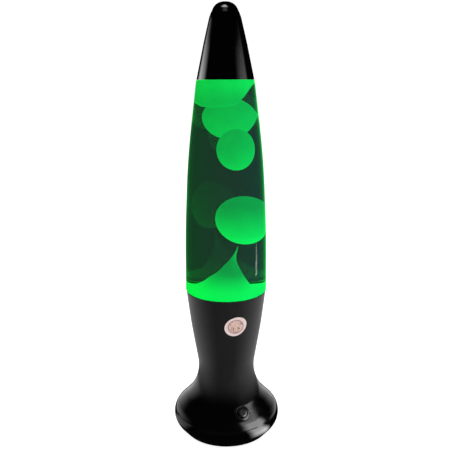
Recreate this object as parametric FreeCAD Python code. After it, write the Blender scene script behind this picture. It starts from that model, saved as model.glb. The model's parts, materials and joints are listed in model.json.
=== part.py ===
"""Lava lamp: a spun base with a reflector bulb, a wax-filled glass globe and a lift-off cap.

Millimetres. The origin is the centre of the surface that the lamp stands on, +Z is up and -Y is the front,
the side with the push switch. Every piece is written to parts/NAME.step.
"""
import FreeCAD, Part

import math
import os

V = FreeCAD.Vector
UP = V(0, 0, 1)
ORIGIN = V(0, 0, 0)

# Overall heights
LIP_Z = 1.5                # lower edge of the base shell
RIM_Z = 144.5              # upper edge of the base shell
SHOULDER_Z = 340.3         # where the cap meets the glass
TOP_Z = 407.0              # tip of the cap

# Base: an hourglass of spun aluminium, as (radius, height, corner radius)
SHELL_T = 1.2
RIM_R = 37.9
BASE_OUTLINE = [(42.0, LIP_Z, 0), (57.0, 19.0, 15), (24.0, 53.0, 44), (34.0, 112.5, 550), (RIM_R, RIM_Z, 0)]
FLANGE_Z = (4.0, 5.2)      # inward flange that carries the bottom plate
FLANGE_R = 33.0

# Bottom plate, feet and lamp bracket
PLATE_T = 1.2
PLATE_R = 40.0
FOOT_R = 5.5
FOOT_RING_R = 30.0
PLATE_SCREW_RING_R = 36.6
PLATE_SCREW_R = 1.25
BRACKET_W = 18.0
BRACKET_T = 1.5
BRACKET_TOP_Z = 15.5
BRACKET_LEG_X = 17.5
BRACKET_SCREW_X = 22.5
BRACKET_SCREW_R = 1.45
SCREW_HEAD_R = 2.8
SCREW_HEAD_H = 1.6
CLEARANCE = 0.3            # between pieces that move apart

# Lamp holder and bulb: an E14 screw cap and a 39 mm reflector bulb
NIPPLE_R = 4.95
NIPPLE_BORE_R = 3.5
SOCKET_TOP_Z = 52.0
SLEEVE_R = 7.2             # inner radius of the screw shell
BULB_TIP_Z = 26.0
BULB_TOP_Z = 92.0
BULB_R = 19.5
BULB_CAP_R = 6.95
THREAD_PITCH = 2.82
BULB_GLASS_T = 0.7

# Push switch: on the foot's flank, right of the front
SWITCH_AZIMUTH = 20.0      # degrees from the front towards +X
SWITCH_R = 41.7
SWITCH_Z = 34.8
SWITCH_TILT = 44.1         # degrees that its axis rises above the horizontal
BEZEL_R = 7.3
BARREL_R = 5.9
BUTTON_R = 4.7

# Cord entry: a grommet low at the back, horizontal
GROMMET_Z = 11.0
GROMMET_R = 6.0
GROMMET_NECK_R = 4.5
GROMMET_BORE_R = 3.3
GROMMET_Y = (43.6, 51.4)

# Oval label on the front of the base
LABEL_AZIMUTH = 14.8
LABEL_R = 35.0
LABEL_Z = 121.0
LABEL_HALF = (10.7, 9.3)
LABEL_TURN = 26.0
LABEL_T = 0.2

# Globe: a tapered glass bottle that stands in the base's funnel
GLASS_T = 2.5
GLOBE_BOTTOM_Z = 103.0
GLOBE_OUTLINE = [(0.0, GLOBE_BOTTOM_Z, 0), (30.2, GLOBE_BOTTOM_Z, 9), (36.1, RIM_Z + 0.4, 0.6),
                 (38.5, RIM_Z + 0.8, 1.3), (38.0, 203.0, 1300), (34.7, 271.0, 750), (26.2, SHOULDER_Z, 0.5),
                 (24.0, SHOULDER_Z + 0.6, 0.5), (19.5, 354.0, 8), (12.6, 361.0, 4), (12.6, 366.5, 0)]
FINISH_R = 13.2            # bead that the crown cap grips
MOUTH_R = 8.5
MOUTH_Z = 372.0
LIQUID_TOP_Z = 358.5

# Wax: a pool with a rising peak, two free blobs, an upper blob and a mass under the cap
WAX_GAP = 0.35
POOL_Z = 145.0             # level of the pool at the wall
WAX_TOP_Z = 333.0          # underside of the wax in the neck

# Cap: a hollow nose cone
CAP_T = 1.0
CAP_OUTLINE = [(25.9, SHOULDER_Z + 0.5, 0), (19.3, 372.0, 450), (13.8, 395.0, 30), (8.1, TOP_Z, 12), (0.0, TOP_Z, 0)]


# ---- Outline and placing helpers -------------------------------------------------------------------------------

def corner(before, here, after, radius, room):
    """Start, middle and end of the arc that rounds a corner; room is the most that it may take of either side."""
    back = (before - here).normalize()
    ahead = (after - here).normalize()
    half = back.getAngle(ahead) / 2
    reach = min(radius / math.tan(half), room)
    inside = (back + ahead).normalize()
    depth = reach / math.cos(half) - reach * math.tan(half)
    return here + back * reach, here + inside * depth, here + ahead * reach


def outline(points):
    """A closed wire in the XZ plane through (x, z) or (x, z, corner radius) points."""
    places = [V(p[0], 0, p[1]) for p in points]
    radii = [p[2] if len(p) > 2 else 0 for p in points]
    edges = []
    last = None
    count = len(places)
    for i, here in enumerate(places):
        if radii[i] > 0:
            sides = [(places[j].distanceToPoint(here), radii[j]) for j in (i - 1, (i + 1) % count)]
            room = min(side * (0.49 if fillet > 0 else 0.98) for side, fillet in sides)
            start, middle, end = corner(places[i - 1], here, places[(i + 1) % count], radii[i], room)
        else:
            start, middle, end = here, None, here
        if last is None:
            first = start
        elif last.distanceToPoint(start) > 1e-6:
            edges.append(Part.makeLine(last, start))
        if middle is not None:
            edges.append(Part.Arc(start, middle, end).toShape())
        last = end
    if last.distanceToPoint(first) > 1e-6:
        edges.append(Part.makeLine(last, first))
    return Part.Wire(edges)


def spin(points):
    """A solid of revolution about Z from a closed outline."""
    return Part.Face(outline(points)).revolve(ORIGIN, UP, 360)


def inset(points, gap):
    """An outline that runs upwards, moved towards the axis by gap with its end heights kept."""
    lines = []
    for (r0, z0, _), (r1, z1, _) in zip(points, points[1:]):
        length = math.hypot(r1 - r0, z1 - z0)
        step = ((r1 - r0) / length, (z1 - z0) / length)
        lines.append(((r0 - gap * step[1], z0 + gap * step[0]), step))
    moved = []
    for i, (r, z, fillet) in enumerate(points):
        (ar, az), (ur, uz) = lines[max(i - 1, 0)]
        if i in (0, len(points) - 1):
            r, z = (ar + (z - az) * ur / uz, z) if abs(uz) > 1e-9 else (r, az)
        else:
            (br, bz), (wr, wz) = lines[i]
            cross = ur * wz - uz * wr
            along = ((br - ar) * wz - (bz - az) * wr) / cross
            r, z = ar + along * ur, az + along * uz
            fillet = max(fillet - math.copysign(gap, cross), 0) if fillet else 0
        moved.append((r, z, fillet))
    return moved


def shell(points, thickness):
    """A thin-walled solid of revolution below an open outline."""
    return spin(points + inset(points, thickness)[::-1])


def tube(outer, inner, low, high):
    """A plain ring or sleeve on the Z axis."""
    return spin([(inner, low), (outer, low), (outer, high), (inner, high)])


def disc(radius, low, high, x=0.0, y=0.0):
    """An upright cylinder."""
    return Part.makeCylinder(radius, high - low, V(x, y, low), UP)


def block(x_range, y_range, z_range):
    """A box between two limits on each axis."""
    size = [high - low for low, high in (x_range, y_range, z_range)]
    return Part.makeBox(*size, V(x_range[0], y_range[0], z_range[0]))


def strip(points, half_width):
    """A bent strip: a closed XZ outline with thickness along Y."""
    face = Part.Face(outline(points))
    face.translate(V(0, -half_width, 0))
    return face.extrude(V(0, 2 * half_width, 0))


def hexagon(across_flats, bore, low, high):
    """A hexagon nut on the Z axis."""
    reach = across_flats / math.sqrt(3)
    corners = [V(reach * math.cos(math.radians(a)), reach * math.sin(math.radians(a)), low) for a in range(0, 361, 60)]
    prism = Part.Face(Part.makePolygon(corners)).extrude(V(0, 0, high - low))
    return prism.cut(disc(bore, low - 1, high + 1))


def polar(radius, angle, height=0.0):
    """A point at an angle in degrees, counted from +X about Z."""
    return V(radius * math.cos(math.radians(angle)), radius * math.sin(math.radians(angle)), height)


def moved(shape, offset):
    """A copy of the shape, shifted."""
    copy = shape.copy()
    copy.translate(offset)
    return copy


def placed(shape, place):
    """A copy of the shape in a placement."""
    copy = shape.copy()
    copy.Placement = place.multiply(copy.Placement)
    return copy


def pan_screw(head_z, tip_z, shank_r):
    """A screw with its head down: head from head_z up, shank on to tip_z, and a cross recess."""
    seat = head_z + SCREW_HEAD_H
    screw = spin([(0, head_z), (SCREW_HEAD_R, head_z, 0.9), (SCREW_HEAD_R, seat), (shank_r, seat),
                  (shank_r, tip_z - 0.8), (shank_r - 0.6, tip_z), (0, tip_z)])
    for angle in (0, 90):
        slot = block((-1.6, 1.6), (-0.35, 0.35), (head_z - 0.1, head_z + 0.9))
        slot.rotate(ORIGIN, UP, angle)
        screw = screw.cut(slot)
    return screw


def routed_wire(points, radius):
    """A round lead along straight runs joined by arcs as large as the runs allow."""
    places = [V(*p) for p in points]
    edges = []
    last = places[0]
    bends = []
    for before, here, after in zip(places, places[1:], places[2:]):
        half = (before - here).getAngle(after - here) / 2
        reach = 0.45 * min(before.distanceToPoint(here), after.distanceToPoint(here))
        bend = reach * math.tan(half)
        start, middle, end = corner(before, here, after, bend, reach)
        edges.append(Part.makeLine(last, start))
        edges.append(Part.Arc(start, middle, end).toShape())
        bends.append(bend)
        last = end
    edges.append(Part.makeLine(last, places[-1]))
    path = Part.Wire(edges)
    circle = Part.Wire(Part.makeCircle(radius, places[0], places[1] - places[0]))
    lead = path.makePipeShell([circle], True, False)
    print("lead: length %.1f, tightest bend %.1f" % (path.Length, min(bends)))
    return lead


def egg(centre, half_width, half_height, lean=0.0, lean_axis=V(0, 1, 0)):
    """A spheroid, half_height along its own axis, leaning by an angle about lean_axis."""
    major, minor = max(half_width, half_height), min(half_width, half_height)
    ellipse = Part.Ellipse(ORIGIN, major, minor)
    tall = half_height >= half_width
    arc = Part.Arc(ellipse, -math.pi / 2, math.pi / 2) if not tall else Part.Arc(ellipse, 0, math.pi)
    edge = arc.toShape()
    edge.rotate(ORIGIN, V(1, 0, 0), 90)
    if tall:
        edge.rotate(ORIGIN, V(0, 1, 0), 90)
    ends = [edge.valueAt(edge.FirstParameter), edge.valueAt(edge.LastParameter)]
    face = Part.Face(Part.Wire([edge, Part.makeLine(ends[1], ends[0])]))
    solid = face.revolve(ORIGIN, UP, 360)
    solid.rotate(ORIGIN, lean_axis, lean)
    solid.translate(centre)
    return solid


def drop(tip, radius, height, lean):
    """A round-ended finger that rises from its tip, leaning towards +X."""
    finger = spin([(0, 0), (radius, 0, 0.95 * radius), (radius, height), (0, height)])
    finger.rotate(ORIGIN, V(0, 1, 0), lean)
    finger.translate(tip)
    return finger


# ---- Base ------------------------------------------------------------------------------------------------------

SWITCH_PLACE = FreeCAD.Placement(V(0, 0, 0), FreeCAD.Rotation(UP, SWITCH_AZIMUTH - 90)).multiply(
    FreeCAD.Placement(V(SWITCH_R, 0, SWITCH_Z), FreeCAD.Rotation(V(0, 1, 0), 90 - SWITCH_TILT)))
GROMMET_PLACE = FreeCAD.Placement(V(0, 0, GROMMET_Z), FreeCAD.Rotation(V(1, 0, 0), -90))
PLATE_Z = (FLANGE_Z[0] - PLATE_T, FLANGE_Z[0])
SCREW_ANGLES = (30, 150, 270)
FOOT_ANGLES = (90, 210, 330)


def base_form():
    """The base's outer form, filled."""
    return spin(BASE_OUTLINE + [(0, RIM_Z), (0, LIP_Z)])


def make_base_shell():
    """The spun shell with its flange, and holes for the switch, the grommet and the plate's screws."""
    body = shell(BASE_OUTLINE, SHELL_T)
    low, high = FLANGE_Z
    flange = spin([(FLANGE_R, low), (43.2, low), (44.2, high), (FLANGE_R, high)])
    body = body.fuse(flange).removeSplitter()
    for angle in SCREW_ANGLES:
        body = body.cut(moved(disc(PLATE_SCREW_R + 0.05, 0, 9), polar(PLATE_SCREW_RING_R, angle)))
    body = body.cut(placed(disc(BARREL_R + 0.2, -9, 9), SWITCH_PLACE))
    return body.cut(placed(disc(GROMMET_NECK_R, 40, 60), GROMMET_PLACE))


def make_base_plate():
    """The bottom plate: screw holes, and vents that let air rise past the bulb."""
    plate = disc(PLATE_R, *PLATE_Z)
    holes = [polar(PLATE_SCREW_RING_R, angle) for angle in SCREW_ANGLES]
    holes += [V(x, 0, 0) for x in (-BRACKET_SCREW_X, BRACKET_SCREW_X)]
    for place in holes:
        plate = plate.cut(moved(disc(1.7, 0, 9), place))
    for angle in range(0, 360, 60):
        plate = plate.cut(moved(disc(2.0, 0, 9), polar(10, angle)))
    for middle in SCREW_ANGLES:
        for step in (-14, 0, 14):
            plate = plate.cut(moved(disc(2.0, 0, 9), polar(29.0, middle + step)))
    return plate


def make_feet():
    """Three rubber feet under the plate."""
    foot = spin([(0, 0), (FOOT_R - 0.5, 0, 0.6), (FOOT_R, PLATE_Z[0]), (0, PLATE_Z[0])])
    return {"rubber_foot_%d" % (i + 1): moved(foot, polar(FOOT_RING_R, angle)) for i, angle in enumerate(FOOT_ANGLES)}


def make_plate_screws():
    """Three screws that hold the plate to the flange."""
    screw = pan_screw(PLATE_Z[0] - SCREW_HEAD_H, 8.0, PLATE_SCREW_R)
    return Part.makeCompound([moved(screw, polar(PLATE_SCREW_RING_R, angle)) for angle in SCREW_ANGLES])


def make_lamp_bracket():
    """A bent steel strap that carries the lamp holder over the plate."""
    low, top = PLATE_Z[1], BRACKET_TOP_Z
    leg = BRACKET_LEG_X
    foot_x = BRACKET_SCREW_X + 4.5
    right = [(foot_x, low), (foot_x, low + BRACKET_T), (leg, low + BRACKET_T, 1), (leg, top, 3)]
    left = [(-x, *rest) for x, *rest in right[::-1]]
    under = [(-foot_x, low), (BRACKET_T - leg, low, 2.4), (BRACKET_T - leg, top - BRACKET_T, 1.5),
             (leg - BRACKET_T, top - BRACKET_T, 1.5), (leg - BRACKET_T, low, 2.4)]
    strap = strip(right + left[:-1] + under, BRACKET_W / 2)
    strap = strap.cut(disc(NIPPLE_R + 0.15, 10, 20))
    for x in (-BRACKET_SCREW_X, BRACKET_SCREW_X):
        strap = strap.cut(disc(1.7, 0, 9, x))
    return strap


def make_bracket_fixings():
    """Two screws up through the plate and the strap, each with a nut."""
    screw = pan_screw(PLATE_Z[0] - SCREW_HEAD_H, 9.0, BRACKET_SCREW_R)
    seat = PLATE_Z[1] + BRACKET_T
    nut = hexagon(5.5, BRACKET_SCREW_R + 0.03, seat, seat + 2.4)
    places = [V(x, 0, 0) for x in (-BRACKET_SCREW_X, BRACKET_SCREW_X)]
    return (Part.makeCompound([moved(screw, place) for place in places]),
            Part.makeCompound([moved(nut, place) for place in places]))


def make_grommet():
    """A rubber ring in the hole at the back, with a flange on each side of the wall."""
    low, high = GROMMET_Y
    plug = spin([(0, low, 0), (GROMMET_R - 0.6, low), (GROMMET_R, low + 1.2), (GROMMET_R, high, 1.0), (0, high)])
    plug = plug.cut(disc(GROMMET_BORE_R, 30, 60))
    wall = shell(BASE_OUTLINE, SHELL_T).cut(placed(disc(GROMMET_NECK_R, 40, 60), GROMMET_PLACE))
    return placed(plug, GROMMET_PLACE).cut(wall)


def make_label():
    """A thin oval label that follows the front of the base."""
    outer = [(r, z, fillet) for r, z, fillet in inset(BASE_OUTLINE, -LABEL_T)]
    skin = spin(outer + BASE_OUTLINE[::-1])
    ellipse = Part.Wire(Part.Ellipse(ORIGIN, *LABEL_HALF).toShape())
    prism = Part.Face(ellipse).extrude(V(0, 0, 20))
    prism.rotate(ORIGIN, UP, LABEL_TURN)
    prism.rotate(ORIGIN, V(1, 0, 0), 90 + 8.4)
    prism.translate(V(0, 12 - LABEL_R, LABEL_Z))
    prism.rotate(ORIGIN, UP, LABEL_AZIMUTH)
    return skin.common(prism)


# ---- Switch ----------------------------------------------------------------------------------------------------
# Built about a local Z axis that points out of the base, with zero at the shell's surface.

BARREL_END = -14.0
SWITCH_END = -23.0


def make_switch_bezel():
    """The round bezel with its barrel; its flange beds on the curved shell."""
    seat = placed(base_form(), SWITCH_PLACE.inverse())
    flange = spin([(BARREL_R, -2.5), (BEZEL_R, -2.5), (BEZEL_R, 1.7, 0.9), (5.6, 2.1, 0.3), (BUTTON_R + 0.25, 1.7),
                   (BUTTON_R + 0.25, 0), (BARREL_R, 0)])
    flange = flange.cut(seat.cut(disc(BARREL_R, -30, 10)))
    barrel = tube(BARREL_R, BUTTON_R + 0.25, BARREL_END, 0)
    return placed(flange.fuse(barrel).removeSplitter(), SWITCH_PLACE)


def make_switch_nut():
    """The hexagon nut that clamps the barrel from inside."""
    return placed(hexagon(15.0, BARREL_R + 0.03, -5.2, -2.4), SWITCH_PLACE)


def make_switch_body():
    """The contact block behind the barrel."""
    low, high = SWITCH_END, BARREL_END
    body = spin([(0, low), (6.6, low, 0.8), (6.6, high), (0, high)])
    return placed(body, SWITCH_PLACE)


def make_switch_terminals():
    """Two solder tabs."""
    tab = block((-0.4, 0.4), (-1.6, 1.6), (SWITCH_END - 4.5, SWITCH_END))
    tab = tab.cut(Part.makeCylinder(0.7, 4, V(-2, 0, SWITCH_END - 3), V(1, 0, 0)))
    return placed(Part.makeCompound([moved(tab, V(x, 0, 0)) for x in (-3, 3)]), SWITCH_PLACE)


def make_switch_spring():
    """The return spring, between the contact block and the button."""
    low, high = BARREL_END + 0.35, -6.4
    coil = Part.Wire(Part.makeLongHelix((high - low) / 4, high - low, 2.9))
    coil.translate(V(0, 0, low))
    section = Part.Wire(Part.makeCircle(0.35, V(2.9, 0, low), V(0, 1, 0)))
    return placed(coil.makePipeShell([section], True, True), SWITCH_PLACE)


def make_switch_button():
    """The round push button."""
    button = spin([(0, -6.0), (BUTTON_R, -6.0, 0.4), (BUTTON_R, 3.0, 0.8), (3.0, 3.4, 2), (0, 3.4)])
    return placed(button, SWITCH_PLACE)


# ---- Lamp holder and leads -------------------------------------------------------------------------------------

def make_socket_housing():
    """The insulating body of the lamp holder."""
    low = BRACKET_TOP_Z
    return spin([(NIPPLE_R + 0.03, low), (13.0, low, 1), (14.0, low + 14, 3), (12.2, SOCKET_TOP_Z, 1.5),
                 (SLEEVE_R + 0.8, SOCKET_TOP_Z, 0.6), (SLEEVE_R + 0.8, 27.0), (11.0, 27.0), (11.0, low + 3),
                 (NIPPLE_R + 0.03, low + 3)])


def make_socket_sleeve():
    """The screw shell, plain inside with room for the bulb's thread."""
    return tube(SLEEVE_R + 0.7, SLEEVE_R, 27.0, SOCKET_TOP_Z - 3)


def make_socket_terminals():
    """Two terminal blocks in the chamber under the screw shell."""
    low = BRACKET_TOP_Z + 3
    left = block((-9.5, -5.7), (-3, 3), (low, low + 5.5))
    right = block((6.0, 9.6), (-3, 3), (low, 27.0))
    return Part.makeCompound([left, right])


def make_socket_contact():
    """The springy tongue under the bulb's tip."""
    seat = BRACKET_TOP_Z + 8.5
    return strip([(-9.0, seat), (-3.6, seat, 1), (1.5, BULB_TIP_Z - 1.0, 0.5), (2.6, BULB_TIP_Z - 1.0),
                  (2.6, BULB_TIP_Z - 0.5), (1.4, BULB_TIP_Z - 0.5, 1), (-3.8, seat + 0.5, 1.5), (-9.0, seat + 0.5)], 2.0)


def make_nipple():
    """The hollow threaded tube that clamps the holder and lets the leads through."""
    return tube(NIPPLE_R, NIPPLE_BORE_R, 11.2, BRACKET_TOP_Z + 4.5)


def make_nipple_nut():
    """The nut under the strap."""
    return hexagon(14, NIPPLE_R + 0.03, 11.2, BRACKET_TOP_Z - BRACKET_T)


def make_terminal_block():
    """The two-pole block where the cord would end, with its four screws."""
    low, high = PLATE_Z[1], 14.0
    body = block((-9, 9), (20, 31), (low, high))
    for x in (-4.5, 4.5):
        body = body.cut(Part.makeCylinder(1.6, 20, V(x, 15, low + 4), V(0, 1, 0)))
        for y in (22.7, 28.3):
            body = body.cut(disc(1.7, low + 4, high + 1, x, y))
    screw = spin([(0, low + 5.8), (1.5, low + 5.8), (1.5, high - 0.6), (0, high - 0.6)])
    screw = screw.cut(block((-2, 2), (-0.3, 0.3), (high - 1.3, high)))
    screws = [moved(screw, V(x, y, 0)) for x in (-4.5, 4.5) for y in (22.7, 28.3)]
    return body, Part.makeCompound(screws)


LEAD_R = 0.8


def make_leads():
    """The inner wiring: block to switch, switch to holder, block to holder."""
    tab_out = SWITCH_PLACE.multVec(V(3, 0, SWITCH_END - 5.5))
    tab_in = SWITCH_PLACE.multVec(V(-3, 0, SWITCH_END - 5.5))
    live = [(4.5, 24.0, 8.0), (4.5, 17.0, 7.6), (13.2, 12.5, 6.4), (14.4, 1.0, 6.2), (14.8, -9.5, 7.4),
            (tab_out.x, tab_out.y, tab_out.z)]
    switched = [(tab_in.x, tab_in.y, tab_in.z), (3.8, -12.8, 7.0), (3.4, -8.2, 5.7), (2.3, -3.6, 6.4),
                (1.7, -1.2, 9.6), (1.6, -0.2, 14.5), (1.6, 0.0, 21.0)]
    neutral = [(-4.5, 24.0, 8.0), (-4.5, 16.0, 7.6), (-3.6, 8.4, 5.6), (-2.3, 3.6, 6.4), (-1.7, 1.2, 9.6),
               (-1.6, 0.2, 14.5), (-1.6, 0.0, 21.0)]
    routes = {"lead_live": live, "lead_switched": switched, "lead_neutral": neutral}
    return {name: routed_wire(points, LEAD_R) for name, points in routes.items()}


# ---- Bulb ------------------------------------------------------------------------------------------------------

CAP_LOW_Z = BULB_TIP_Z + 2.6
CAP_HIGH_Z = 47.0


def make_bulb_contact():
    """The solder tip under the bulb."""
    return spin([(0, BULB_TIP_Z), (2.2, BULB_TIP_Z, 1.6), (2.2, BULB_TIP_Z + 1.4), (0, BULB_TIP_Z + 1.4)])


def make_bulb_insulator():
    """The glass ring between the tip and the screw cap."""
    low = BULB_TIP_Z + 1.4
    return spin([(0, low), (2.8, low), (5.2, CAP_LOW_Z), (0, CAP_LOW_Z)])


def make_bulb_cap():
    """The screw cap: a thin sleeve with rolled ridges at the thread's pitch."""
    root = BULB_CAP_R - 0.5
    ridge = 0.9
    points = [(5.0, CAP_LOW_Z), (root - 0.3, CAP_LOW_Z, 0.4)]
    for turn in range(5):
        middle = CAP_LOW_Z + 2.4 + turn * THREAD_PITCH
        points += [(root, middle - ridge), (BULB_CAP_R, middle - 0.2), (BULB_CAP_R, middle + 0.2), (root, middle + ridge)]
    points += [(BULB_CAP_R, CAP_HIGH_Z - 1.5), (BULB_CAP_R, CAP_HIGH_Z), (5.0, CAP_HIGH_Z)]
    return spin(points)


BULB_OUTLINE = [(6.2, CAP_HIGH_Z, 0), (7.4, 52.0, 6), (11.5, 60.0, 10), (18.6, 75.0, 8), (BULB_R, 80.5, 4),
                (BULB_R - 2.0, 86.6, 3), (9.0, BULB_TOP_Z, 40), (0.0, BULB_TOP_Z, 0)]


def make_bulb_glass():
    """The blown reflector bulb."""
    return shell(BULB_OUTLINE, BULB_GLASS_T)


def make_bulb_stem():
    """The glass stem inside the bulb's neck."""
    return spin([(0, CAP_HIGH_Z), (4.6, CAP_HIGH_Z, 0.5), (2.0, 53.0, 3), (1.6, 62.0, 1.2), (0, 62.0)])


def make_filament_supports():
    """The two wires that carry the filament."""
    post = Part.makeCylinder(0.25, 13, V(0, 0, 0), V(0.38, 0, 1))
    right = moved(post, V(0.9, 0, 61.0))
    left = right.mirror(ORIGIN, V(1, 0, 0))
    return Part.makeCompound([right, left]).cut(make_bulb_stem())


def make_filament():
    """The coiled filament, as a rod of its outer size."""
    return Part.makeCylinder(0.6, 10.6, V(-5.3, 0, 73.9), V(1, 0, 0))


# ---- Globe -----------------------------------------------------------------------------------------------------

def bottle_outline():
    """The bottle's outline from the centre of its bottom up to its mouth."""
    return GLOBE_OUTLINE + [(FINISH_R, 367.2, 0.4), (FINISH_R, MOUTH_Z, 1.2)]


INSIDE = [(0.0, GLOBE_BOTTOM_Z + 3.0, 0), (28.0, GLOBE_BOTTOM_Z + 3.0, 7), (33.6, RIM_Z, 5), (36.0, 148.0, 12),
          (35.5, 203.0, 1300), (32.2, 271.0, 750), (23.2, SHOULDER_Z + 2, 20), (17.0, 352.5, 7), (MOUTH_R, 360.5, 5),
          (MOUTH_R, MOUTH_Z, 0)]


def inside(low, high):
    """The bottle's cavity between two heights."""
    cavity = spin(INSIDE + [(0, MOUTH_Z)])
    return cavity.common(block((-60, 60), (-60, 60), (low, high)))


def make_globe_glass():
    """The glass bottle."""
    return spin(bottle_outline() + INSIDE[::-1])


def make_crown():
    """The crimped crown cap and its liner."""
    top = MOUTH_Z + 0.6
    skirt = 5.6
    steel = spin([(0, top), (13.4, top), (14.6, top - skirt), (15.0, top - skirt), (13.9, top + 0.2, 2.5),
                  (0, top + 0.3)])
    teeth = [moved(disc(0.55, top - skirt, top - 1.6), polar(14.75, step * 360 / 21)) for step in range(21)]
    steel = steel.fuse(teeth)
    liner = disc(12.6, MOUTH_Z, top)
    return steel, liner


def make_wax_coil():
    """The ring of coiled wire that lies in the bottom of the wax, as closed turns of thin wire."""
    turn = Part.makeTorus(3.0, 0.45, ORIGIN, V(0, 1, 0))
    ring = []
    for step in range(30):
        piece = moved(turn, V(22.5, 0, GLOBE_BOTTOM_Z + 7.0))
        piece.rotate(ORIGIN, UP, step * 12)
        ring.append(piece)
    return Part.makeCompound(ring)


UPPER_BLOB = dict(centre=V(2.6, 9.3, 305.5), half_width=16.9, half_height=18.4)
SMALL_BLOB = dict(centre=V(8.2, -12.8, 278.8), half_width=14.6, half_height=18.2)
LARGE_BLOB = dict(centre=V(10.6, 1.5, 213.2), half_width=17.4, half_height=22.4, lean=-20)


def make_mounds():
    """The swell of the pool's surface, and the thin peak that rises right of its middle."""
    foot = POOL_Z - 8
    swell = spin([(0, foot), (26.5, foot), (26.5, POOL_Z), (18.0, POOL_Z + 5, 30), (8.5, POOL_Z + 15, 12),
                  (0, POOL_Z + 18)])
    peak = spin([(0, foot), (10.5, foot), (10.5, POOL_Z + 6, 20), (3.6, POOL_Z + 26, 25), (1.1, POOL_Z + 41, 1.1),
                 (0, POOL_Z + 41.6)])
    return [moved(swell, V(-3.0, 0, 0)), moved(peak, V(6.6, 0, 0))]


def make_lobes():
    """The lobes that hang under the wax in the neck: a long one on the left, a short one in front."""
    return [drop(V(-17.4, -1.0, 316.0), 9.0, 28.0, 15), drop(V(3.0, -8.5, 323.5), 12.0, 20.0, 0)]


def make_wax_pool():
    """The pool of warm wax at the bottom."""
    pool = inside(0, POOL_Z)
    for mound in make_mounds():
        pool = pool.fuse(mound)
    return pool.removeSplitter()


def make_wax_top():
    """The wax gathered in the neck."""
    top = inside(WAX_TOP_Z, LIQUID_TOP_Z)
    for lobe in make_lobes():
        top = top.fuse(lobe)
    return top.removeSplitter()


def make_liquid():
    """The liquid between the pool and the wax in the neck, clear of the blobs that float free."""
    wax = make_mounds() + make_lobes() + [egg(**UPPER_BLOB)]
    for blob in (SMALL_BLOB, LARGE_BLOB):
        grown = dict(blob, half_width=blob["half_width"] + WAX_GAP, half_height=blob["half_height"] + WAX_GAP)
        wax.append(egg(**grown))
    liquid = inside(POOL_Z, WAX_TOP_Z)
    for solid in wax:
        liquid = liquid.cut(solid)
    return liquid


def make_top_cap():
    """The hollow nose cone."""
    return shell(CAP_OUTLINE, CAP_T)


# ---- All pieces ------------------------------------------------------------------------------------------------

def build_base():
    """Everything that stays with the base."""
    bracket_screws, bracket_nuts = make_bracket_fixings()
    terminal_block, terminal_screws = make_terminal_block()
    pieces = {
        "base_shell": make_base_shell(),
        "base_plate": make_base_plate(),
        "plate_screws": make_plate_screws(),
        "lamp_bracket": make_lamp_bracket(),
        "bracket_screws": bracket_screws,
        "bracket_nuts": bracket_nuts,
        "cord_grommet": make_grommet(),
        "label_sticker": make_label(),
        "switch_bezel": make_switch_bezel(),
        "switch_nut": make_switch_nut(),
        "switch_body": make_switch_body(),
        "switch_terminals": make_switch_terminals(),
        "switch_spring": make_switch_spring(),
        "socket_housing": make_socket_housing(),
        "socket_sleeve": make_socket_sleeve(),
        "socket_terminals": make_socket_terminals(),
        "socket_contact": make_socket_contact(),
        "socket_nipple": make_nipple(),
        "nipple_nut": make_nipple_nut(),
        "terminal_block": terminal_block,
        "terminal_screws": terminal_screws,
    }
    pieces.update(make_feet())
    pieces.update(make_leads())
    return pieces


def build_bulb():
    """The bulb's pieces, its tip included."""
    return {
        "bulb_contact": make_bulb_contact(),
        "bulb_insulator": make_bulb_insulator(),
        "bulb_cap": make_bulb_cap(),
        "bulb_glass": make_bulb_glass(),
        "bulb_stem": make_bulb_stem(),
        "filament_supports": make_filament_supports(),
        "filament": make_filament(),
    }


def build_globe():
    """The bottle, its closure and everything sealed in it."""
    crown_cap, crown_liner = make_crown()
    coil = make_wax_coil()
    return {
        "globe_glass": make_globe_glass(),
        "crown_cap": crown_cap,
        "crown_liner": crown_liner,
        "wax_coil": coil,
        "wax_pool": make_wax_pool().cut(coil),
        "wax_top": make_wax_top(),
        "wax_upper_blob": egg(**UPPER_BLOB),
        "wax_small_blob": egg(**SMALL_BLOB),
        "wax_large_blob": egg(**LARGE_BLOB),
        "globe_liquid": make_liquid(),
    }


def main():
    """Build every piece and write each to its own file."""
    os.makedirs("parts", exist_ok=True)
    pieces = build_base()
    pieces.update(build_bulb())
    pieces.update(build_globe())
    pieces["switch_button"] = make_switch_button()
    pieces["top_cap"] = make_top_cap()
    for name, shape in pieces.items():
        shape.exportStep("parts/%s.step" % name)
        print("%-20s solids %d valid %s volume %.1f" % (name, len(shape.Solids), shape.isValid(), shape.Volume))


main()
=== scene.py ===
"""The looks of the lava lamp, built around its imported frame. Metres, +Z up, front at -Y."""
import json
import math

import bpy
import numpy as np
from mathutils import Matrix, Vector


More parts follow.
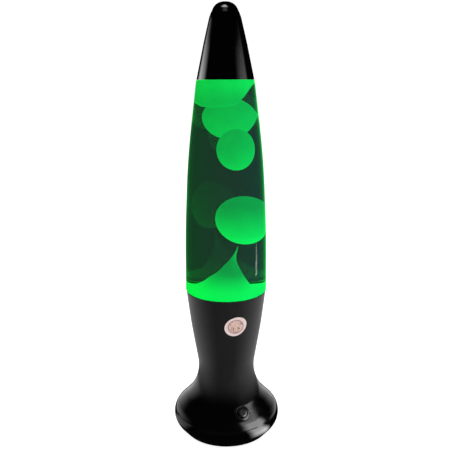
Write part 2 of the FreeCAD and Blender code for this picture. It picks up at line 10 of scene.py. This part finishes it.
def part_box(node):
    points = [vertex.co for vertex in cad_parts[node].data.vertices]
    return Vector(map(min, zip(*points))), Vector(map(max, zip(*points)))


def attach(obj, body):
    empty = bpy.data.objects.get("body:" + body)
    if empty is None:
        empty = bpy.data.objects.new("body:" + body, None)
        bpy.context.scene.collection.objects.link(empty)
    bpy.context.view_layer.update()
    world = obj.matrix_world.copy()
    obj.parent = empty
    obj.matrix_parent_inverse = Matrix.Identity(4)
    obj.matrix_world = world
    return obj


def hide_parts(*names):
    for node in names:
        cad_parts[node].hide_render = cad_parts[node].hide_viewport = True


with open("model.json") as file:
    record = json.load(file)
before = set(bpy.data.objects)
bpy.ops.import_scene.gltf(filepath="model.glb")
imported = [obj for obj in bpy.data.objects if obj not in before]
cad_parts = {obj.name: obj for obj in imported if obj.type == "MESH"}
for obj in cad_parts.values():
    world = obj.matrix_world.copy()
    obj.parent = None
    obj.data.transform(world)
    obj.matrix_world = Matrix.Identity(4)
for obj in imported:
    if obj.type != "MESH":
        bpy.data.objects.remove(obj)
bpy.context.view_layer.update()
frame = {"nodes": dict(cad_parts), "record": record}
NODES = frame["nodes"]

# Camera: above the middle of the lamp, looking slightly down
CAMERA_PLACE = (-0.0008, -0.5778, 0.3407)
CAMERA_PITCH = 12.97
CAMERA_ROLL = 0.2
CAMERA_LENS = 50.45

# Stage: the room as each kind of ray meets it
FLOOR_RADIUS = 4.0
FLOOR_GREY = 0.6
FLOOR_GLOW = 0.9           # keeps the floor white where the lamp shades it
BACKDROP_LIGHT = 1.05
ROOM_LIGHT = 0.5
BEHIND_GLASS_LIGHT = 0.092
DARK_GLEAM = 0.004
OVERHEAD_POWER = 14

# Reflectors: name, what sees it, azimuths, (radius, height) from and to, radiance, soft edges
GLOWS = [
    ("left_wall", "base", (-72, -185), (0.7, -0.02), (0.7, 0.34), 0.85, (0.4, 0.01, 0.01, 0.9)),
    ("right_wall", "base", (102, 185), (0.7, -0.02), (0.7, 0.30), 0.75, (0.4, 0.01, 0.01, 0.9)),
    ("floor_left", "base", (-80, -182), (0.13, -0.002), (0.7, -0.002), 1.0, (0.4, 0.01, 0.08, 0.01)),
    ("floor_right", "base", (76, 178), (0.13, -0.002), (0.7, -0.002), 1.0, (0.4, 0.01, 0.08, 0.01)),
    ("floor_front", "base", (-60, 60), (0.09, -0.003), (0.3, -0.003), 0.07, (0.3, 0.3, 0.3, 0.6)),
    ("left_of_neck", "base", (-14, -178), (0.042, 0.050), (0.042, 0.165), 0.68, (0.36, 0.01, 0.08, 0.01)),
    ("right_of_neck", "base", (14, 178), (0.042, 0.0445), (0.042, 0.165), 0.68, (0.36, 0.01, 0.11, 0.01)),
    ("right_window", "base", (30, 90), (0.68, -0.14), (0.68, 0.82), 6.0, (0.32, 0.25, 0.02, 0.2)),
    ("right_window_near", "base", (31, 75), (0.048, -0.0015), (0.17, -0.0015), 6.6, (0.36, 0.34, 0.14, 0.02)),
    ("left_patch_on_floor", "base", (-60, -112), (0.055, -0.0015), (0.22, -0.0015), 0.55,
     (0.3, 0.3, 0.1, 0.3)),
    ("right_high_window", "cap", (40, 100), (0.68, 0.44), (0.68, 0.70), 3.6, (0.45, 0.3, 0.1, 0.8)),
    ("left_high_window", "cap", (-82, -142), (0.68, 0.38), (0.68, 0.66), 4.8, (0.3, 0.4, 0.1, 0.85)),
    ("top_window", "cap", (-75, 50), (0.02, 1.0), (0.42, 1.0), 8.0, (0.3, 0.3, 0.2, 0.3)),
    ("glass_streak", "glass", (87, 98), (0.22, -0.001), (0.95, -0.001), 8.0, (0.4, 0.4, 0.2, 0.3)),
]

# Filling of the bottle
LAP = 0.0003               # how far the liquid laps into the glass
WALL_GAP = 0.0004          # how far the wax stays off the glass
TOP_GAP = 0.001            # how far the wax below the crown stays under the liquid's top
PEAK_LEAN = 0.15           # how far the peak leans back, as a share of how far it leans to the right
FRONT_DROP = 0.002         # how much lower the upper wax's underside is at the front wall than at the middle
WAX_SHADE = (0.012, 0.50, 0.12)
WAX_BRIGHT = (0.008, 1.35, 0.20)

# Height, left and right edge of the settled wax, from its rim up to its peak (mm)
MOUND = [(144.4, -33.2, 33.2), (144.6, -32.8, 28.5), (145.6, -31.2, 22.5), (147.4, -26.4, 19.4),
         (150.2, -21.0, 17.4), (154.0, -16.2, 15.4), (158.6, -12.0, 13.2), (164.0, -6.2, 11.0),
         (169.8, -2.0, 8.9), (175.5, 2.2, 7.3), (181.0, 5.2, 7.3), (185.0, 7.0, 8.0), (189.0, 8.2, 8.5)]

# Underside of the wax below the crown: share of the wall's radius towards +X, height (mm)
UNDERSIDE = [(-1.0, 322.0), (-0.85, 319.4), (-0.6, 319.0), (-0.3, 319.4), (0.0, 320.0), (0.25, 321.0),
             (0.42, 322.6), (0.56, 327.0), (0.73, 335.0), (0.86, 344.0), (1.0, 354.0)]
BACK_RISE = 0.014          # how much more the underside rises towards the back wall


# ---- Materials: a shader and the nodes that feed it ----------------------------------------------

class Shader:
    """A material with a principled shader, and short calls for the nodes that feed it."""

    def __init__(self, name, colour, roughness, **inputs):
        self.material = bpy.data.materials.new(name)
        self.material.use_nodes = True
        self.tree = self.material.node_tree
        self.bsdf = self.tree.nodes["Principled BSDF"]
        self.set("Base Color", (*colour, 1))
        self.set("Roughness", roughness)
        for socket, value in inputs.items():
            self.set(socket.replace("_", " "), value)

    def set(self, socket, value):
        self.bsdf.inputs[socket].default_value = value

    def feed(self, source, socket):
        self.link(source, self.bsdf.inputs[socket])

    def link(self, source, target):
        self.tree.links.new(source, target)

    def node(self, kind, **values):
        made = self.tree.nodes.new("ShaderNode" + kind)
        for key, value in values.items():
            if key in made.inputs:
                made.inputs[key].default_value = value
            else:
                setattr(made, key, value)
        return made

    def math(self, operation, *sources):
        """A number worked out from others."""
        made = self.node("Math", operation=operation)
        for socket, source in zip(made.inputs, sources):
            if isinstance(source, (int, float)):
                socket.default_value = source
            else:
                self.link(source, socket)
        return made.outputs[0]

    def place(self, centre=(0, 0, 0), turn=(0, 0, 0), size=(1, 1, 1)):
        """Position on the object, seen from a turned and scaled box."""
        mapping = self.node("Mapping", vector_type="TEXTURE")
        mapping.inputs["Location"].default_value = centre
        mapping.inputs["Rotation"].default_value = turn
        mapping.inputs["Scale"].default_value = size
        self.link(self.node("TexCoord").outputs["Object"], mapping.inputs["Vector"])
        return mapping.outputs[0]

    def height(self):
        axes = self.node("SeparateXYZ")
        self.link(self.node("TexCoord").outputs["Object"], axes.inputs[0])
        return axes.outputs["Z"]

    def noise(self, scale, detail=3.0, stretch=(1, 1, 1)):
        texture = self.node("TexNoise", Scale=scale, Detail=detail)
        self.link(self.place(size=stretch), texture.inputs["Vector"])
        return texture.outputs["Fac"]

    def spread(self, factor, low, high, start=0.3, end=0.7, smooth=False):
        """A number that goes from low to high as factor goes from start to end."""
        node = self.node("MapRange")
        if smooth:
            node.interpolation_type = "SMOOTHSTEP"
        for socket, value in zip((1, 2, 3, 4), (start, end, low, high)):
            node.inputs[socket].default_value = value
        self.link(factor, node.inputs[0])
        return node.outputs[0]

    def ramp(self, factor, stops):
        """A colour that follows factor through (place, colour) stops."""
        node = self.node("ValToRGB")
        elements = node.color_ramp.elements
        while len(elements) < len(stops):
            elements.new(0.5)
        for element, (at, colour) in zip(elements, stops):
            element.position = at
            element.color = (*colour, 1)
        self.link(factor, node.inputs[0])
        return node.outputs[0]

    def rough(self, scale, low, high, detail=3.0, stretch=(1, 1, 1)):
        self.feed(self.spread(self.noise(scale, detail, stretch), low, high), "Roughness")
        return self

    def bump(self, scale, height, detail=3.0, stretch=(1, 1, 1)):
        node = self.node("Bump", Strength=1.0, Distance=height)
        self.link(self.noise(scale, detail, stretch), node.inputs["Height"])
        self.feed(node.outputs[0], "Normal")
        return self

    def mottle(self, scale, dark, light, detail=4.0, stretch=(1, 1, 1)):
        self.feed(self.ramp(self.noise(scale, detail, stretch), [(0.3, dark), (0.7, light)]), "Base Color")
        return self


def base_enamel():
    """Stoved black enamel: satin on the neck, deep gloss on the foot, and a little grey painted on the neck
    for the light falling on it.
    """
    enamel = Shader("black_enamel", (0.002, 0.002, 0.002), 0.2)
    neck = enamel.spread(enamel.height(), 0.0, 1.0, 0.038, 0.060, smooth=True)
    # Painted light: the neck's colour is a little grey for the light falling on it, while the foot stays
    # black.
    black = enamel.ramp(neck, [(0.0, (0.0008, 0.0008, 0.0008)), (1.0, (0.0125, 0.0118, 0.0122))])
    enamel.feed(black, "Base Color")
    peel = enamel.spread(enamel.noise(60), -0.04, 0.04)
    enamel.feed(enamel.math("ADD", enamel.spread(neck, 0.13, 0.34, 0.0, 1.0), peel), "Roughness")
    return enamel.bump(900, 0.000004)


def cap_enamel():
    """The cap's enamel is glossier, with faint turning marks round it from the spun metal below."""
    enamel = Shader("cap_enamel", (0.0005, 0.0005, 0.0005), 0.09)
    return enamel.rough(60, 0.06, 0.12).bump(500, 0.000003, stretch=(1, 1, 0.15))


def wax_shader():
    """Wax lit through from the lamp below, its light painted as glow: undersides, wax low near the lamp, the
    pool and the top of the upper wax towards +X glow brighter than the tops.
    """
    wax = Shader("green_wax", (0.0, 0.04, 0.004), 0.55, Emission_Strength=1.0)
    axes = wax.node("SeparateXYZ")
    wax.link(wax.node("NewGeometry").outputs["Normal"], axes.inputs[0])
    # Painted light: the glow is brighter on undersides, strongest low down near the lamp, and a little
    # brighter on right-facing sides higher up.
    underside = wax.spread(axes.outputs["Z"], 0.72, -0.5, -0.85, 0.85)
    near_lamp = wax.spread(wax.height(), 1.0, 0.25, 0.215, 0.285)
    painted_glow_right_side = wax.math("MULTIPLY", wax.spread(axes.outputs["X"], -0.05, 0.09, -1.0, 1.0),
                          wax.spread(wax.height(), 0.0, 1.0, 0.24, 0.27))
    painted_glow_of_drops = wax.math("ADD", wax.math("MULTIPLY_ADD", underside, near_lamp, 0.26), painted_glow_right_side)
    # Painted light: the pool low in the bottle glows bright, and the wax at the very top glows brighter
    # towards +X.
    settled = wax.spread(wax.height(), 1.0, 0.0, 0.146, 0.168, smooth=True)
    place = wax.node("SeparateXYZ")
    wax.link(wax.node("TexCoord").outputs["Object"], place.inputs[0])
    gathered = wax.math("MULTIPLY", wax.spread(wax.height(), 0.0, 1.0, 0.312, 0.335),
                        wax.spread(place.outputs["X"], 0.42, 0.75, -0.026, 0.018))
    cloud = wax.spread(wax.noise(60, 2), -0.06, 0.06)
    level = wax.math("ADD", wax.math("MAXIMUM", wax.math("MAXIMUM", painted_glow_of_drops, settled), gathered), cloud)
    wax.feed(wax.ramp(level, [(0.0, WAX_SHADE), (1.0, WAX_BRIGHT)]), "Emission Color")
    return wax.bump(120, 0.00002)


def globe_glass():
    """Clear soda glass, with a green glow painted on towards its outline for the wax's light carried in the
    wall, most of all on the right.
    """
    glass = Shader("clear_glass", (1, 1, 1), 0.0, Transmission_Weight=1.0, IOR=1.25)
    # Painted light: a green glow towards the glass's outline, stronger towards +X, stands in for the wax's
    # light in the wall.
    edge = glass.node("LayerWeight", Blend=0.5).outputs["Facing"]
    glass.feed(glass.ramp(edge, [(0.0, (0, 0, 0)), (0.45, (0, 0, 0)), (0.62, (0.0, 0.008, 0.001)),
                                 (0.74, (0.001, 0.035, 0.004)), (0.87, (0.003, 0.11, 0.016)),
                                 (1.0, (0.004, 0.16, 0.03))]), "Emission Color")
    axes = glass.node("SeparateXYZ")
    glass.link(glass.node("NewGeometry").outputs["Normal"], axes.inputs[0])
    glass.feed(glass.spread(axes.outputs["X"], 1.8, 5.2, -1.0, 1.0), "Emission Strength")
    return glass


def dyed_liquid():
    """Thin green-black liquid; the wax's light is painted into its tint, which is lighter towards the sides
    and greenest on the left.
    """
    liquid = Shader("dark_liquid", (0.05, 0.42, 0.15), 0.0, Transmission_Weight=1.0, IOR=1.33)
    axes = liquid.node("SeparateXYZ")
    liquid.link(liquid.node("TexCoord").outputs["Object"], axes.inputs[0])
    # Painted light: the tint lightens towards both sides and is greenest on the left, for the wax's light in
    # the liquid.
    across = liquid.spread(axes.outputs["X"], 0.0, 1.0, -0.032, 0.032)
    dye_and_painted_glow = liquid.ramp(across, [(0.0, (0.04, 0.56, 0.14)), (0.35, (0.09, 0.42, 0.20)),
                               (0.65, (0.12, 0.42, 0.26)), (1.0, (0.10, 0.56, 0.42))])
    liquid.feed(dye_and_painted_glow, "Base Color")
    return liquid


def label_paper():
    """A small round seal: pale rim, one thin ring and a mottled foil centre, without lettering."""
    low, high = (np.array(corner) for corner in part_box("label_sticker"))
    centre = (low + high) / 2
    across = math.atan2(centre[0], -centre[1])
    label = Shader("label_paper", (0.4, 0.3, 0.28), 0.45)
    seal = label.place(tuple(centre), (0, 0, across), tuple(np.array([1, 1, 0.93]) * (high[2] - low[2]) / 2))
    axes = label.node("SeparateXYZ")
    label.link(seal, axes.inputs[0])
    flat = label.node("CombineXYZ")
    label.link(axes.outputs["X"], flat.inputs["X"])
    label.link(axes.outputs["Z"], flat.inputs["Z"])
    length = label.node("VectorMath", operation="LENGTH")
    label.link(flat.outputs[0], length.inputs[0])
    ring = label.ramp(length.outputs["Value"], [
        (0.0, (0.66, 0.47, 0.40)), (0.66, (0.66, 0.46, 0.41)), (0.74, (0.30, 0.19, 0.18)),
        (0.80, (0.66, 0.48, 0.46)), (0.88, (0.78, 0.61, 0.60)), (1.0, (0.82, 0.66, 0.65))])
    grain = label.noise(700, 2, (1, 1, 1.6))
    foil = label.ramp(grain, [(0.40, (0.42, 0.36, 0.35)), (0.52, (1.1, 1.05, 1.0))])
    blend = label.node("Mix", data_type="RGBA", blend_type="MULTIPLY")
    label.link(label.spread(length.outputs["Value"], 1.0, 0.15, 0.62, 0.78), blend.inputs["Factor"])
    label.link(ring, blend.inputs["A"])
    label.link(foil, blend.inputs["B"])
    label.feed(blend.outputs["Result"], "Base Color")
    return label.bump(700, 0.00002)


def make_finishes():
    """One finish for each material slot of the record, but for the leads."""
    metal = {"Metallic": 1.0}
    finishes = {
        "black_enamel": base_enamel(),
        "cap_enamel": cap_enamel(),
        "label_paper": label_paper(),
        "green_wax": wax_shader(),
        "clear_glass": globe_glass(),
        "dark_liquid": dyed_liquid(),
        "bulb_glass": Shader("bulb_glass", (0.95, 0.93, 0.88), 0.35, Transmission_Weight=0.7, IOR=1.45,
                             Emission_Color=(1.0, 0.72, 0.42, 1), Emission_Strength=0.6).rough(80, 0.3, 0.45),
        "tungsten": Shader("tungsten", (0.3, 0.28, 0.25), 0.4, Emission_Color=(1.0, 0.62, 0.25, 1),
                           Emission_Strength=8.0, **metal),
        "zinc_steel": Shader("zinc_steel", (0.6, 0.6, 0.58), 0.35, **metal),
        "tinplate": Shader("tinplate", (0.6, 0.58, 0.52), 0.3, **metal),
        "nickel": Shader("nickel", (0.66, 0.63, 0.58), 0.15, **metal),
        "brass": Shader("brass", (0.75, 0.55, 0.26), 0.3, **metal),
        "black_rubber": Shader("black_rubber", (0.012, 0.012, 0.012), 0.7),
        "switch_plastic": Shader("switch_plastic", (0.004, 0.004, 0.004), 0.22),
        "holder_plastic": Shader("holder_plastic", (0.03, 0.03, 0.03), 0.4),
        "terminal_plastic": Shader("terminal_plastic", (0.7, 0.68, 0.62), 0.45),
        "liner_plastic": Shader("liner_plastic", (0.7, 0.7, 0.66), 0.5),
    }
    finishes["zinc_steel"].mottle(130, (0.50, 0.50, 0.47), (0.68, 0.68, 0.64)).rough(90, 0.25, 0.5)
    finishes["tinplate"].mottle(160, (0.52, 0.49, 0.43), (0.66, 0.64, 0.59)).rough(110, 0.2, 0.4)
    finishes["nickel"].rough(150, 0.1, 0.22)
    finishes["brass"].mottle(140, (0.62, 0.42, 0.18), (0.80, 0.60, 0.30)).rough(120, 0.22, 0.42)
    finishes["black_rubber"].mottle(200, (0.008, 0.008, 0.008), (0.020, 0.020, 0.019)).bump(800, 0.00003)
    finishes["switch_plastic"].rough(120, 0.16, 0.28).bump(1200, 0.000003)
    finishes["holder_plastic"].mottle(150, (0.024, 0.024, 0.024), (0.04, 0.04, 0.038)).bump(900, 0.00001)
    finishes["terminal_plastic"].mottle(90, (0.64, 0.62, 0.56), (0.74, 0.72, 0.66)).bump(600, 0.00001)
    finishes["liner_plastic"].mottle(90, (0.64, 0.64, 0.6), (0.74, 0.74, 0.7)).bump(500, 0.00001)
    finishes["tungsten"].rough(300, 0.3, 0.5)
    return finishes


def paint_cad_nodes(finishes):
    """Every CAD node takes the finish of its slot; each lead gets its own colour."""
    leads = {"lead_live": (0.16, 0.06, 0.02), "lead_switched": (0.02, 0.02, 0.02),
             "lead_neutral": (0.02, 0.12, 0.42)}
    for part in frame["record"]["subparts"]:
        name = part["node"]
        if name in leads:
            colour = np.array(leads[name])
            shader = Shader(name, leads[name], 0.4).mottle(300, tuple(colour * 0.8), tuple(colour * 1.2))
            shader.bump(700, 0.00001)
        else:
            shader = finishes[part["material_slot"]]
        mesh = NODES[name].data
        mesh.materials.clear()
        mesh.materials.append(shader.material)


# ---- Camera, stage and light ---------------------------------------------------------------------

def make_camera():
    data = bpy.data.cameras.new("camera")
    data.lens = CAMERA_LENS
    data.sensor_width = 36
    data.clip_start = 0.01
    camera = bpy.data.objects.new("camera", data)
    camera.location = CAMERA_PLACE
    pitch = Matrix.Rotation(math.radians(90 - CAMERA_PITCH), 3, "X")
    roll = Matrix.Rotation(math.radians(-CAMERA_ROLL), 3, "Z")
    camera.rotation_euler = (pitch @ roll).to_euler()
    bpy.context.scene.collection.objects.link(camera)
    bpy.context.scene.camera = camera
    bpy.context.scene.view_settings.view_transform = "Standard"


def stage_mesh(name, points, faces, material):
    mesh = bpy.data.meshes.new(name)
    mesh.from_pydata([tuple(point) for point in points], [], faces)
    mesh.materials.append(material)
    piece = bpy.data.objects.new(name, mesh)
    bpy.context.scene.collection.objects.link(piece)
    return piece


def make_floor():
    count = 96
    turns = np.linspace(0, 2 * math.pi, count, endpoint=False)
    points = np.stack([FLOOR_RADIUS * np.cos(turns), FLOOR_RADIUS * np.sin(turns), np.zeros(count)], axis=1)
    shader = Shader("pale_floor", (FLOOR_GREY,) * 3, 0.9, Emission_Color=(1, 1, 1, 1),
                    Emission_Strength=FLOOR_GLOW)
    floor = stage_mesh("floor", points, [tuple(range(count))], shader.material)
    floor.visible_glossy = False
    floor.visible_transmission = False


def make_world():
    """A white room for the camera, softly bright for matt surfaces, dim through glass and dark in gloss."""
    world = bpy.data.worlds.new("studio")
    bpy.context.scene.world = world
    world.use_nodes = True
    tree = world.node_tree
    background = tree.nodes["Background"]
    background.inputs["Color"].default_value = (1, 1, 1, 1)
    path = tree.nodes.new("ShaderNodeLightPath")
    level = ROOM_LIGHT
    for ray, light in (("Is Glossy Ray", DARK_GLEAM), ("Is Transmission Ray", BEHIND_GLASS_LIGHT),
                       ("Is Camera Ray", BACKDROP_LIGHT)):
        mix = tree.nodes.new("ShaderNodeMix")
        tree.links.new(path.outputs[ray], mix.inputs["Factor"])
        if isinstance(level, float):
            mix.inputs["A"].default_value = level
        else:
            tree.links.new(level, mix.inputs["A"])
        mix.inputs["B"].default_value = light
        level = mix.outputs["Result"]
    tree.links.new(level, background.inputs["Strength"])


def glow(name, azimuths, start, end, radiance, soft):
    """A reflector that only gloss sees: a strip over a range of azimuths, from the front towards +X,
    between two (radius, height) lines. soft gives how much of its width each edge takes to fade: left,
    right, start and end."""
    wide, tall = 48, 16
    points, levels, faces = [], [], []
    for row in np.linspace(0, 1, tall):
        radius, z = (1 - row) * np.array(start) + row * np.array(end)
        for column in np.linspace(0, 1, wide):
            turn = math.radians(azimuths[0] + (azimuths[1] - azimuths[0]) * column)
            points.append((radius * math.sin(turn), -radius * math.cos(turn), z))
            distances = np.array((column, 1 - column, row, 1 - row))
            edges = np.clip(distances / np.array(soft), 0, 1)
            levels.append(float(np.prod(edges ** 2 * (3 - 2 * edges))))
    for row in range(tall - 1):
        for column in range(wide - 1):
            k = row * wide + column
            faces.append((k, k + 1, k + wide + 1, k + wide))
    shader = Shader(name, (0, 0, 0), 1.0, Emission_Color=(1, 1, 1, 1), Specular_IOR_Level=0.0)
    level = shader.node("Attribute", attribute_name="level")
    shader.feed(shader.math("MULTIPLY", level.outputs["Fac"], radiance), "Emission Strength")
    piece = stage_mesh(name, points, faces, shader.material)
    attribute = piece.data.attributes.new("level", "FLOAT", "POINT")
    attribute.data.foreach_set("value", levels)
    for kind in ("camera", "diffuse", "transmission", "shadow", "volume_scatter"):
        setattr(piece, "visible_" + kind, False)
    return piece


def link_light(light, pieces, state):
    """Light only these pieces (INCLUDE), or every piece but these (EXCLUDE)."""
    group = bpy.data.collections.new(light.name + "_linked")
    for piece in pieces:
        group.objects.link(piece)
    light.light_linking.receiver_collection = group
    for entry in group.collection_objects:
        entry.light_linking.link_state = state


def make_lights(liquid):
    overhead = bpy.data.lights.new("overhead", "AREA")
    overhead.size = 2.4
    overhead.energy = OVERHEAD_POWER
    lamp = bpy.data.objects.new("overhead", overhead)
    lamp.location = (0, -0.2, 1.9)
    lamp.visible_camera = False
    lamp.visible_glossy = False
    bpy.context.scene.collection.objects.link(lamp)
    glassware = [NODES["globe_glass"], liquid]
    link_light(lamp, glassware, "EXCLUDE")
    for name, seen_by, azimuths, start, end, radiance, soft in GLOWS:
        card = glow(name, azimuths, start, end, radiance, soft)
        if seen_by == "base":
            link_light(card, [*glassware, NODES["top_cap"]], "EXCLUDE")
        elif seen_by == "cap":
            link_light(card, [NODES["top_cap"]], "INCLUDE")
        else:
            link_light(card, [NODES["globe_glass"]], "INCLUDE")


# ---- Shapes --------------------------------------------------------------------------------------

def skin_profile(node, side):
    """(radius, height) up one side of a turned CAD node: 1 for its outer skin, -1 for its inner one."""
    rings = {}
    for vertex in NODES[node].data.vertices:
        x, y, z = vertex.co
        radius = math.hypot(x, y)
        if radius < 1e-5:
            continue
        facing = (vertex.normal.x * x + vertex.normal.y * y) / radius
        if facing * side > 0.2:
            rings.setdefault(round(z, 5), []).append(radius)
    return sorted((z, max(radii)) for z, radii in rings.items() if len(radii) > 8)


def circle(centre, radius, height, count=128):
    """A level ring of points."""
    turns = np.linspace(0, 2 * math.pi, count, endpoint=False)
    return np.stack([centre[0] + radius * np.cos(turns), centre[1] + radius * np.sin(turns),
                     np.full(count, height)], axis=1)


def smooth_path(knots, per_span=8):
    """Points along a Catmull-Rom curve through the knots."""
    knots = np.array(knots, dtype=float)
    padded = np.vstack([2 * knots[0] - knots[1], knots, 2 * knots[-1] - knots[-2]])
    points = []
    for k in range(1, len(padded) - 2):
        before, start, end, after = padded[k - 1:k + 3]
        for t in np.arange(per_span) / per_span:
            points.append(0.5 * (2 * start + (end - before) * t
                                 + (2 * before - 5 * start + 4 * end - after) * t ** 2
                                 + (3 * start - before - 3 * end + after) * t ** 3))
    points.append(knots[-1])
    return np.array(points)


def loft(name, rings, body, node, slot, finishes):
    """A smooth closed skin through rings of equally many points, which stands for a CAD node."""
    count = len(rings[0])
    points = [tuple(point) for ring in rings for point in ring]
    faces = []
    for level in range(len(rings) - 1):
        first, second = level * count, (level + 1) * count
        for k in range(count):
            after = (k + 1) % count
            faces.append((first + k, first + after, second + after, second + k))
    for ring, start, flip in ((rings[0], 0, True), (rings[-1], (len(rings) - 1) * count, False)):
        points.append(tuple(np.mean(ring, axis=0)))
        middle = len(points) - 1
        for k in range(count):
            pair = (start + k, start + (k + 1) % count)
            faces.append((middle, *(reversed(pair) if flip else pair)))
    mesh = bpy.data.meshes.new(name)
    mesh.from_pydata(points, [], faces)
    mesh.polygons.foreach_set("use_smooth", [True] * len(mesh.polygons))
    mesh.update()
    mesh.materials.append(finishes[slot].material)
    piece = bpy.data.objects.new(name, mesh)
    bpy.context.scene.collection.objects.link(piece)
    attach(piece, body)
    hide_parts(node)
    return piece


# ---- Filling of the bottle -----------------------------------------------------------------------

WALL = skin_profile("globe_glass", -1)


def wall(z):
    """Inner radius of the bottle at a height."""
    return float(np.interp(z, [point[0] for point in WALL], [point[1] for point in WALL]))


def make_liquid(finishes):
    """One clear column that fills the bottle and laps a little into its wall, with no cavities."""
    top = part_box("wax_top")[1][2]
    heights = [z for z, _ in WALL if z < top] + [top]
    rings = [circle((0, 0), wall(heights[0]) * 0.9, heights[0] - LAP, 192)]
    rings += [circle((0, 0), wall(z) + LAP, z, 192) for z in heights]
    return loft("liquid", rings, "globe", "globe_liquid", "dark_liquid", finishes)


def make_pool(finishes):
    """Wax settled over the coil, drawn up into a leaning peak."""
    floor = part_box("wax_pool")[0][2]
    rim = MOUND[0][0] / 1000
    rings = [circle((0, 0), wall(z) - WALL_GAP, z) for z in np.linspace(floor, rim, 40)]
    for z, left, right in smooth_path(MOUND)[1:] / 1000:
        middle = (left + right) / 2
        rings.append(circle((middle, middle * PEAK_LEAN), (right - left) / 2, z))
    return loft("pool_of_wax", rings, "globe", "wax_pool", "green_wax", finishes)


def make_top_mass(finishes):
    """Wax gathered below the crown, with a slanting underside and a lobe down the left wall."""
    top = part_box("wax_top")[1][2] - TOP_GAP
    turns = np.linspace(0, 2 * math.pi, 128, endpoint=False)
    curve = smooth_path(UNDERSIDE)
    rings = []
    for share in np.linspace(0.04, 1.0, 40):
        ring = []
        for turn in turns:
            across, deep = share * math.cos(turn), share * math.sin(turn)
            z = float(np.interp(across, curve[:, 0], curve[:, 1])) / 1000 + FRONT_DROP * deep
            z = min(z + BACK_RISE * max(deep, 0) ** 2, top - TOP_GAP / 2)
            reach = wall(z) - WALL_GAP
            ring.append((across * reach, deep * reach, z))
        rings.append(ring)
    edge = rings[-1]
    for lift in np.linspace(0, 1, 24)[1:]:
        ring = []
        for turn, (_, _, z) in zip(turns, edge):
            height = z + (top - z) * lift
            reach = wall(height) - WALL_GAP
            ring.append((reach * math.cos(turn), reach * math.sin(turn), height))
        rings.append(ring)
    return loft("top_mass_of_wax", rings, "globe", "wax_top", "green_wax", finishes)


def make_drop(name, node, body, finishes, lean=0.0, size=(1, 1, 1), shift=(0, 0, 0), drift=0.0):
    """A drop of wax where its CAD solid is, leaning about the front-to-back line, and flattened where it
    meets the glass anywhere along its drift."""
    low, high = (np.array(corner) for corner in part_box(node))
    centre = Vector((low + high) / 2 + np.array(shift))
    half = (high - low) / 2 * np.array(size)
    turn = Matrix.Rotation(math.radians(lean), 3, "Y")
    rings = []
    for polar in np.linspace(0, math.pi, 66)[1:-1]:
        ring = []
        for point in circle((0, 0), math.sin(polar), -math.cos(polar)) * half:
            x, y, z = centre + turn @ Vector(point)
            reach = min(wall(z), wall(z + drift)) - WALL_GAP
            pressed = min(1.0, reach / math.hypot(x, y))
            ring.append((x * pressed, y * pressed, z))
        rings.append(ring)
    return loft(name, rings, body, node, "green_wax", finishes)


def make_filling(finishes):
    make_pool(finishes)
    make_top_mass(finishes)
    make_drop("upper_drop_of_wax", "wax_upper_blob", "globe", finishes, size=(0.95, 1, 1),
              shift=(-0.0008, 0, 0))
    make_drop("small_drop_of_wax", "wax_small_blob", "small_blob", finishes, size=(1.04, 1, 1),
              shift=(0, 0, 0.0008))
    make_drop("large_drop_of_wax", "wax_large_blob", "large_blob", finishes, lean=-20,
              size=(1.12, 1, 1.04), shift=(0.0026, 0, 0), drift=0.010)
    return make_liquid(finishes)


make_camera()
make_floor()
make_world()
finishes = make_finishes()
paint_cad_nodes(finishes)
liquid = make_filling(finishes)
make_lights(liquid)
